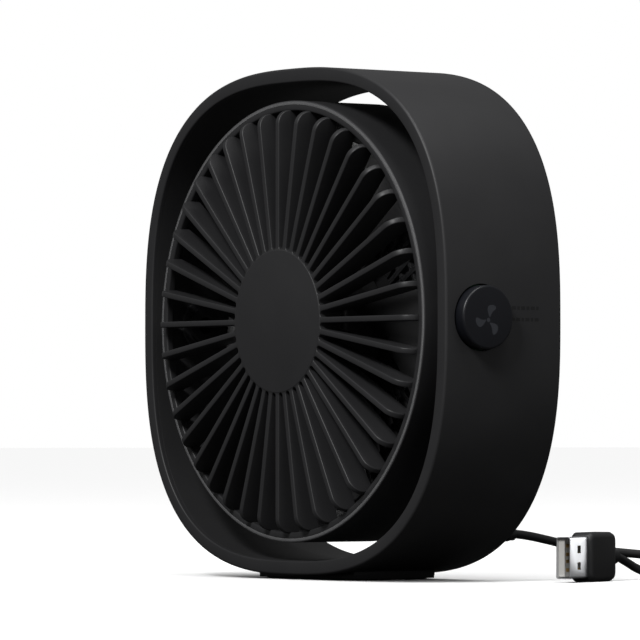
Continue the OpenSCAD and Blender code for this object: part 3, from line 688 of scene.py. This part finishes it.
def makeVane(bm):
    s = grilleSet
    hubRadius, half, rise = s["hubRadius"], s["vaneThickness"] / 2, s["rise"]
    front = headSet["front"] - rise
    back = front + s["vaneDepth"]
    gap = math.pi * hubRadius / s["vanes"] - half  # half of a slot's width at the hub
    loops = []
    for t in (-0.2, 0.02, 0.06, 0.13, 0.24, 0.4, 0.6, 0.8, 1, 1.3):
        share = min(max(t, 0), 1)
        spread = gap * (1 - math.sqrt(1 - (1 - share) ** 2))
        loops.append(vaneLoop(half + spread, s["edge"], hubRadius + gap * t, front, back, (0, -1)))
    shoulder = s["rimInner"] + 0.0002 - rise
    for share in (0.2, 0.5, 0.8):
        loops.append(vaneLoop(half, s["edge"], hubRadius + (shoulder - hubRadius) * share,
            front, back, (0, -1)))
    for k in range(10):
        a = math.radians(10 * k)
        loops.append(vaneLoop(half, s["edge"], shoulder + rise * math.sin(a),
            headSet["front"] - rise * math.cos(a), back, (math.sin(a), -math.cos(a))))
    verts = [bm.verts.new(p) for p in loops[0]]
    edges = [bm.edges.new(pair) for pair in zip(verts, verts[1:] + verts[:1])]
    order = {v: k for k, v in enumerate(verts)}
    everything = list(verts)
    bmesh.ops.contextual_create(bm, geom=edges)
    for loop in loops[1:]:
        made = bmesh.ops.extrude_edge_only(bm, edges=edges)["geom"]
        fresh = {}
        for vert in [g for g in made if isinstance(g, bmesh.types.BMVert)]:
            old = next(e.other_vert(vert) for e in vert.link_edges if e.other_vert(vert) in order)
            fresh[vert] = order[old]
        edges = [g for g in made if isinstance(g, bmesh.types.BMEdge)
            and g.verts[0] in fresh and g.verts[1] in fresh]
        for vert, k in fresh.items():
            vert.co = loop[k]
        everything += list(fresh)
        order = fresh
    bmesh.ops.contextual_create(bm, geom=edges)
    return everything


def makeFrontGrille():
    s = grilleSet
    front = headSet["front"]
    hubFront = front - s["rise"] - 0.0001
    hubBack = front - s["rise"] + s["vaneDepth"] - 0.0003
    bm = bmesh.new()
    makeVane(bm)
    bmesh.ops.recalc_face_normals(bm, faces=bm.faces)
    geom = bm.verts[:] + bm.edges[:] + bm.faces[:]
    bmesh.ops.spin(bm, geom=geom, cent=(0, 0, 0), axis=(0, 0, 1), use_duplicate=True,
        angle=2 * math.pi * (s["vanes"] - 1) / s["vanes"], steps=s["vanes"] - 1)
    toY(bm, bm.verts[:])
    hub = rounded([(0, hubFront), (s["hubRadius"], hubFront), (s["hubRadius"], hubBack),
        (s["hubRadius"] - s["hubWall"], hubBack),
        (s["hubRadius"] - s["hubWall"], hubFront + s["hubThickness"]),
        (0, hubFront + s["hubThickness"])], [0, 0.0003, 0.0002, 0.0003, 0.0006, 0], 4)
    turnedY(bm, hub, 192, False)
    rimOuter = headSet["rim"] - headSet["lipWidth"] - 0.00004
    rim = rounded([(s["rimInner"], front), (rimOuter, front),
        (rimOuter, front + headSet["lipDepth"]), (s["rimInner"], front + headSet["lipDepth"])],
        [0.0005, 0.00008, 0.0001, 0.0004], 4)
    turnedY(bm, rim, 256)
    return finishPiece("frontGrille", bm, "head", grillePlastic, ["front_grille"],
        40, False)


rearSet = {
    "vanes": 50,
    "rings": 6,
    "barWidth": 0.0018,
    "ringWidth": 0.0016,
    "plateRadius": 0.02,
    "slotDepth": 0.0021,  # how far the bars reach ahead of the plate
    "plateThickness": 0.002,
    "screwHole": 0.0012,
    "screwPocket": 0.0022,
    "motorScrewTurns": (90, 210, 330),
    "motorScrewRing": 0.016,
}


def makeRearGrille():
    s = rearSet
    front = headSet["plateFront"]
    back = front + s["plateThickness"]
    inner = rearOuter - 2 * headSet["postRadius"] - 0.0006
    bm = bmesh.new()
    turnedY(bm, rounded([(inner, front), (rearOuter, front), (rearOuter, back), (inner, back)],
        [0.0003, 0.0003, 0.0005, 0.0003], 3), 192)
    flatEdge = s["plateRadius"] - 0.0008  # a ring that keeps the rounded edge out of the flat's shading
    turnedY(bm, rounded([(0, front), (s["plateRadius"], front), (s["plateRadius"], back),
        (flatEdge, back), (0, back)], [0, 0.0002, 0.0004, 0, 0], 3), 128, False)
    cutter = bmesh.new()
    places = [(postRing, t) for t in headSet["postTurns"]]
    places += [(s["motorScrewRing"], t) for t in s["motorScrewTurns"]]
    for ring, turn in places:
        a = math.radians(turn)
        rodY(cutter, (ring * math.cos(a), -ring * math.sin(a)), [(0, front - 0.001),
            (s["screwHole"], front - 0.001), (s["screwHole"], back - 0.0009),
            (s["screwPocket"], back - 0.0009), (s["screwPocket"], back + 0.001),
            (0, back + 0.001)], False, 24)
    bm = carved(bm, cutter)
    low = front - s["slotDepth"]
    reach = inner - s["plateRadius"] + 0.0005
    for k in range(1, s["rings"] + 1):
        r = s["plateRadius"] - 0.0005 + reach * k / (s["rings"] + 1)
        half = s["ringWidth"] / 2
        turnedY(bm, rounded([(r - half, low + 0.0003), (r + half, low + 0.0003),
            (r + half, back - 0.0003), (r - half, back - 0.0003)], 0.0004, 2), 128)
    bars = bmesh.new()
    half = s["barWidth"] / 2
    blockAt(bars, (s["plateRadius"] - 0.0005, -half, low), (inner + 0.0004, half, back))
    bmesh.ops.bevel(bars, geom=bars.edges[:], offset=0.0003, offset_type="OFFSET", segments=2,
        affect="EDGES", profile=0.5, material=-1)
    bmesh.ops.spin(bars, geom=bars.verts[:] + bars.edges[:] + bars.faces[:], cent=(0, 0, 0),
        axis=(0, 0, 1), use_duplicate=True, angle=2 * math.pi * (s["vanes"] - 1) / s["vanes"],
        steps=s["vanes"] - 1)
    toY(bars, bars.verts[:])
    addTo(bm, bars)
    return finishPiece("rearGrille", bm, "head", grillePlastic, ["rear_grille"],
        40, False)


def addTo(bm, other):
    mesh = bpy.data.meshes.new("part")
    other.to_mesh(mesh)
    other.free()
    bm.from_mesh(mesh)
    bpy.data.meshes.remove(mesh)


impellerSet = {
    "blades": 5,
    "hubRadius": 0.0182,
    "hubFront": -0.015,
    "cupRadius": 0.0165,
    "cupFront": -0.013,
    "cupBack": 0,
    "tip": 0.0554,
    "sweep": 50,  # degrees round the hub that a blade covers
    "lead": 14,  # degrees that its tip is ahead of its root
    "depth": 0.012,
    "thickness": 0.0016,
    "camber": 0.0012,
}


def bladePoint(across, out):
    s = impellerSet
    root = s["hubRadius"] - 0.0008
    r = root + (s["tip"] - root) * out
    half = s["sweep"] / 2 * (0.62 + 0.38 * math.sin(math.pi / 2 * out))
    a = math.radians(half * (2 * across - 1) + s["lead"] * out)
    middle = (s["hubFront"] + 0.0015 + s["cupBack"]) / 2 - 0.0012
    return Vector((r * math.cos(a), r * math.sin(a), middle
        + s["depth"] * (across - 0.5) * (1 - 0.25 * out) + s["camber"] * math.sin(math.pi * across)))


def makeImpeller():
    s = impellerSet
    bm = bmesh.new()
    grid = bmesh.ops.create_grid(bm, x_segments=28, y_segments=22, size=0.5)["verts"]
    for vert in grid:
        vert.co = bladePoint(vert.co.x + 0.5, vert.co.y + 0.5)
    made = bmesh.ops.extrude_face_region(bm, geom=bm.faces[:])["geom"]
    raised = [g for g in made if isinstance(g, bmesh.types.BMVert)]
    bmesh.ops.translate(bm, verts=raised, vec=(0, 0, s["thickness"]))
    bmesh.ops.recalc_face_normals(bm, faces=bm.faces)
    rims = [e for e in bm.edges if len(e.link_faces) == 2
        and e.calc_face_angle(0) > math.radians(50)]
    bmesh.ops.bevel(bm, geom=rims, offset=0.0005, offset_type="OFFSET", affect="EDGES",
        segments=3, profile=0.5, material=-1, clamp_overlap=True)
    bmesh.ops.spin(bm, geom=bm.verts[:] + bm.edges[:] + bm.faces[:], cent=(0, 0, 0),
        axis=(0, 0, 1), use_duplicate=True, angle=2 * math.pi * (s["blades"] - 1) / s["blades"],
        steps=s["blades"] - 1)
    toY(bm, bm.verts[:])
    hub = rounded([(0, s["hubFront"]), (s["hubRadius"], s["hubFront"]),
        (s["hubRadius"], s["cupBack"]), (s["cupRadius"], s["cupBack"]),
        (s["cupRadius"], s["cupFront"]), (0, s["cupFront"])],
        [0, 0.0022, 0.0003, 0.0002, 0.0002, 0], 6)
    turnedY(bm, hub, 128, False)
    return finishPiece("impeller", bm, "impeller", bladePlastic, ["impeller"],
        40, False)


headShell = makeHeadShell()
makeFrontGrille()
rearGrille = makeRearGrille()
impeller = makeImpeller()
print("head made")


# ---- speed knob and the marks beside it ----

knobSet = {
    "radius": 0.0092,
    "face": 0.0783,
    "back": 0.0735,
    "edge": 0.0007,
    "stemRadius": 0.002,
    "stemEnd": 0.0704,
    "petals": 3,
    "petalLength": 0.0038,
    "petalWidth": 0.0027,
    "printDepth": 0.00002,  # how far the print is set into what it is on
    "printRise": 0.00003,
    "tickStart": 0.002,  # from the knob's edge back to the first tick
    "tickGap": 0.0005,
    "tickHalf": 0.0005,
    "tickRows": ((0.0029, (0.0015, 0.0009, 0.0015, 0.0011, 0.0015, 0.0009)),
        (-0.0004, (0.0011, 0.0015, 0.0009, 0.0015, 0.0009, 0.0015))),  # height, tick lengths
}


def makeKnob():
    s = knobSet
    bm = bmesh.new()
    turnedX(bm, rounded([(0, s["stemEnd"]), (s["stemRadius"], s["stemEnd"]),
        (s["stemRadius"], s["back"]), (s["radius"], s["back"]), (s["radius"], s["face"]),
        (0, s["face"])], [0, 0.0003, 0.0003, 0.0002, s["edge"], 0], 6), 1, 128, False)
    return finishPiece("speedKnob", bm, "knob", knobPlastic, ["speed_knob"], 30)


def makeFanMark():  # three petals round a dot, printed on the knob's face
    s = knobSet
    bm = bmesh.new()
    for k in range(s["petals"]):
        petal = bmesh.ops.create_circle(bm, cap_ends=True, segments=40, radius=1)["verts"]
        for vert in petal:
            along = (vert.co.x + 1) / 2
            vert.co.y *= s["petalWidth"] / 2 * (0.35 + 0.9 * along)
            vert.co.x = 0.0009 + s["petalLength"] * along
            vert.co.y += 0.0009 * math.sin(math.pi * along)
        bmesh.ops.rotate(bm, verts=petal, cent=(0, 0, 0),
            matrix=Matrix.Rotation(2 * math.pi * k / s["petals"] + math.pi / 6, 3, "Z"))
    bmesh.ops.create_circle(bm, cap_ends=True, segments=24, radius=0.0006)
    made = bmesh.ops.extrude_face_region(bm, geom=bm.faces[:])["geom"]
    raised = [g for g in made if isinstance(g, bmesh.types.BMVert)]
    bmesh.ops.translate(bm, verts=raised, vec=(0, 0, s["printRise"]))
    bmesh.ops.translate(bm, verts=bm.verts[:], vec=(0, 0, -s["printDepth"]))
    bmesh.ops.rotate(bm, verts=bm.verts[:], cent=(0, 0, 0),
        matrix=Matrix.Rotation(math.pi / 2, 3, "Y"))
    bmesh.ops.translate(bm, verts=bm.verts[:], vec=(s["face"], pivotY, headZ - 0.0008))
    return finishPiece("fanMark", bm, "knob", iconPaint, ())


def makeSpeedTicks():  # two short rows of plain ticks printed behind the knob
    s = knobSet
    bm = bmesh.new()
    for row, lengths in s["tickRows"]:
        y = pivotY + s["radius"] + s["tickStart"]
        for length in lengths:
            verts = blockAt(bm, (-s["printDepth"], y, headZ + row - s["tickHalf"]),
                (s["printDepth"], y + length, headZ + row + s["tickHalf"]))
            bmesh.ops.translate(bm, verts=verts, vec=(wallPlace(0, 0)(0).x - 0.00001, 0, 0))
            y += length + s["tickGap"]
    return finishPiece("speedTicks", bm, "frame", printPaint, ())


makeKnob()
makeFanMark()
makeSpeedTicks()
print("knob made")


# ---- plug, lying on its narrow edge ----

plugSet = {
    "at": (0.072, 0.036, 0.0072),
    "turn": -65,
    "gripLength": 0.0176,
    "gripWidth": 0.0144,
    "gripThickness": 0.0074,
    "gripCorner": 0.0016,
    "gripRear": ((0, 0.0016), (0.0003, 0.0011), (0.0016, 0.0004), (0.0034, 0)),  # along, inset
    "gripFront": ((-0.0016, 0), (-0.0007, 0.0003), (-0.0002, 0.0008), (0, 0.0014)),
    "markDepth": 0.00005,  # the mark lies this far under the grip's broad faces
    "markShapes": (((-0.0005, 0), (0.0034, 0.0024)), ((0.0045, 0), (0.0006, 0.0024))),
    "bootRadius": 0.0026,
    "bootLength": 0.004,
    "bootSteps": 6,
    "cordHole": 0.0013,
    "metalWidth": 0.012,
    "metalThickness": 0.0045,
    "metalLength": 0.012,
    "metalSunk": 0.004,
    "metalWall": 0.0003,
    "metalCorner": 0.0006,
    "hole": 0.0022,
}


def boxLoop(x, width, thickness, corner):  # a rounded block section: a point for each turn
    half = Vector((thickness / 2 - corner, width / 2 - corner))

    def place(a):
        c, s = math.cos(a), math.sin(a)
        return Vector((x, math.copysign(half.x, c) + corner * c, math.copysign(half.y, s)
            + corner * s))
    return place


def atPlug(bm):
    bmesh.ops.rotate(bm, verts=bm.verts[:], cent=(0, 0, 0),
        matrix=Matrix.Rotation(math.radians(plugSet["turn"]), 3, "Z"))
    bmesh.ops.translate(bm, verts=bm.verts[:], vec=plugSet["at"])


def makePlugGrip():
    s = plugSet
    front = s["gripLength"] / 2
    w, t, c = s["gripWidth"], s["gripThickness"], s["gripCorner"]
    places = []
    for end, steps in ((-front, s["gripRear"]), (front, s["gripFront"])):
        for along, inset in steps:
            places.append(boxLoop(end + along, w - 2 * inset, t - 1.4 * inset, c))
    bm = bmesh.new()
    lofted(bm, 64, places, False)
    cutter = bmesh.new()
    blockAt(cutter, (front - s["metalSunk"], -s["metalThickness"] / 2, -s["metalWidth"] / 2),
        (front + 0.001, s["metalThickness"] / 2, s["metalWidth"] / 2))
    bm = carved(bm, cutter)
    boot = []
    for k in range(s["bootSteps"] + 1):  # ribs of the boot
        x = -front - s["bootLength"] + s["bootLength"] * k / s["bootSteps"]
        boot.append((s["bootRadius"] - (0.0005 if k % 2 else 0.0001), x))
    verts = turned(bm, [(s["cordHole"], -front - s["bootLength"])] + boot
        + [(s["bootRadius"], -front + 0.0005), (s["cordHole"], -front + 0.0005)], 48)
    bmesh.ops.rotate(bm, verts=verts, cent=(0, 0, 0), matrix=Matrix.Rotation(math.pi / 2, 3, "Y"))
    atPlug(bm)
    return finishPiece("plugGrip", bm, "frame", plugPlastic, ["plug_grip"], 35,
        False)


def makePlugMark():  # a plain oval and a bar, just under both broad faces of the grip
    s = plugSet
    bm = bmesh.new()
    for side in (-1, 1):
        level = side * s["gripThickness"] / 2
        ring = []
        for spot, size in s["markShapes"]:
            disc = bmesh.ops.create_circle(bm, cap_ends=True, segments=40, radius=1)["verts"]
            for vert in disc:
                vert.co = Vector((spot[0] + size[0] * vert.co.x, level - side * s["markDepth"],
                    spot[1] + size[1] * vert.co.y))
            ring += disc
        faces = list({f for v in ring for f in v.link_faces})
        bmesh.ops.inset_individual(bm, faces=faces[:1], thickness=0.0006)
        made = bmesh.ops.extrude_face_region(bm, geom=[f for f in faces if f.is_valid])["geom"]
        raised = [g for g in made if isinstance(g, bmesh.types.BMVert)]
        bmesh.ops.translate(bm, verts=raised, vec=(0, -side * 0.00003, 0))
    atPlug(bm)
    return finishPiece("plugMark", bm, "frame", plugPlastic, ())


def makePlugShell():
    s = plugSet
    front = s["gripLength"] / 2
    start, end = front - s["metalSunk"], front + s["metalLength"]
    w, t, c, wall = s["metalWidth"], s["metalThickness"], s["metalCorner"], s["metalWall"]
    places = [boxLoop(start, w, t, c), boxLoop(front, w, t, c),
        boxLoop(end - 0.0001, w, t, c), boxLoop(end, w - 0.0002, t - 0.0002, c),
        boxLoop(end, w - 2 * wall + 0.0001, t - 2 * wall + 0.0001, c - wall + 0.00005),
        boxLoop(end - 0.0001, w - 2 * wall, t - 2 * wall, c - wall),
        boxLoop(start, w - 2 * wall, t - 2 * wall, c - wall)]
    bm = bmesh.new()
    lofted(bm, 64, places)
    cutter = bmesh.new()
    for side in (-1, 1):
        x = front + s["metalLength"] / 2
        z = side * w / 5
        blockAt(cutter, (x - s["hole"] / 2, -t, z - s["hole"] / 2),
            (x + s["hole"] / 2, t, z + s["hole"] / 2))
    bm = carved(bm, cutter)
    atPlug(bm)
    return finishPiece("plugShell", bm, "frame", plugSteel, ["plug_shell"], 35)


makePlugGrip()
makePlugMark()
plugShell = makePlugShell()
print("plug made")


# ---- finishes of the pieces that keep their CAD shape ----

keptFinishes = {
    screwSteel: ("frame_screws", "base_screws", "head_screws", "motor_screws", "pivot_clips",
        "knob_clip", "shaft_clip"),
    brass: ("pivot_bush_left", "pivot_bush_right", "switch_contacts", "knob_wiper",
        "plug_contacts", "motor_bushes"),
    boardMask: ("switch_board", "motor_board"),
    wireRed: ("supply_wires",),
    wireBlue: ("motor_lead",),
    cordRubber: ("head_wires",),
    stubBlack: ("pivot_stub_left", "pivot_stub_right"),
    washerNylon: ("pivot_washers",),
    tonguePlastic: ("plug_tongue",),
    basePlastic: ("motor_base",),
    coreSteel: ("motor_stator", "rotor_cup"),
    copper: ("motor_coils",),
    magnetGrey: ("magnet_ring",),
    shaftSteel: ("motor_shaft",),
}
for finish, names in keptFinishes.items():
    for name in names:
        nodes[name].data.materials.clear()
        nodes[name].data.materials.append(finish)
print("finishes given")


# ---- floor and light ----

studioSet = {
    "floorTone": 0.9,
    "floorLight": 2.75,
    "floorSoftness": 150,  # degrees across the light that whitens the floor
    "roomFill": 0.2,
    "lights": {  # azimuth, elevation, distance, size, power
        "keyLight": (24, 40, 1.5, 0.35, 14.3),
        "topLight": (90, 72, 1.2, 0.6, 5.0),
        "sideLight": (82, 4, 1.5, 0.8, 1.25),
        "backLight": (176, 10, 1.5, 0.8, 6),
        "insideLight": (-25, 8, 1.5, 0.8, 17),
    },
}


def lightOnly(light, *pieces):
    lit = bpy.data.collections.new(light.name + "Reach")
    for piece in pieces:
        lit.objects.link(piece)
    light.light_linking.receiver_collection = lit


def makeFloor():
    bm = bmesh.new()
    bmesh.ops.create_grid(bm, x_segments=1, y_segments=1, size=30)
    mesh = bpy.data.meshes.new("floor")
    bm.to_mesh(mesh)
    bm.free()
    floor = bpy.data.objects.new("floor", mesh)
    floor.location.z = -0.00005
    scene.collection.objects.link(floor)
    finish = Finish("paleFloor", 0.9, 0, 0)
    tone = studioSet["floorTone"]
    finish.shader.inputs["Base Color"].default_value = (tone, tone, tone, 1)
    dark = finish.nodes.new("ShaderNodeBsdfDiffuse")  # so that the floor throws no light back up
    dark.inputs["Color"].default_value = (0.03, 0.03, 0.03, 1)
    path = finish.nodes.new("ShaderNodeLightPath")
    mix = finish.nodes.new("ShaderNodeMixShader")
    finish.links.new(path.outputs["Is Camera Ray"], mix.inputs[0])
    finish.links.new(dark.outputs[0], mix.inputs[1])
    finish.links.new(finish.shader.outputs[0], mix.inputs[2])
    finish.links.new(mix.outputs[0], finish.nodes["Material Output"].inputs["Surface"])
    mesh.materials.append(finish.material)
    lamp = bpy.data.lights.new("floorLight", "SUN")
    lamp.energy = studioSet["floorLight"]
    lamp.angle = math.radians(studioSet["floorSoftness"])
    thing = bpy.data.objects.new("floorLight", lamp)
    thing.location.z = 2
    scene.collection.objects.link(thing)
    lightOnly(thing, floor)


def makeRoom():
    world = bpy.data.worlds.new("paleRoom")
    scene.world = world
    world.use_nodes = True
    tree = world.node_tree
    back = tree.nodes["Background"]
    back.inputs["Color"].default_value = (1, 1, 1, 1)
    fill = tree.nodes.new("ShaderNodeBackground")
    fill.inputs["Strength"].default_value = studioSet["roomFill"]
    path = tree.nodes.new("ShaderNodeLightPath")
    mix = tree.nodes.new("ShaderNodeMixShader")
    tree.links.new(path.outputs["Is Camera Ray"], mix.inputs[0])
    tree.links.new(fill.outputs[0], mix.inputs[1])
    tree.links.new(back.outputs[0], mix.inputs[2])
    tree.links.new(mix.outputs[0], tree.nodes["World Output"].inputs["Surface"])
    scene.view_settings.view_transform = "Standard"


def lightFrom(name, azimuth, elevation, distance, size, power):
    a, e = math.radians(azimuth), math.radians(elevation)
    way = Vector((math.sin(a) * math.cos(e), -math.cos(a) * math.cos(e), math.sin(e)))
    return softLight(name, centre + way * distance, centre, size, power)


makeFloor()
makeRoom()
lights = {name: lightFrom(name, *values) for name, values in studioSet["lights"].items()}
lightOnly(lights["backLight"], plugShell)
lightOnly(lights["insideLight"], impeller, rearGrille, headShell)
print("studio made")
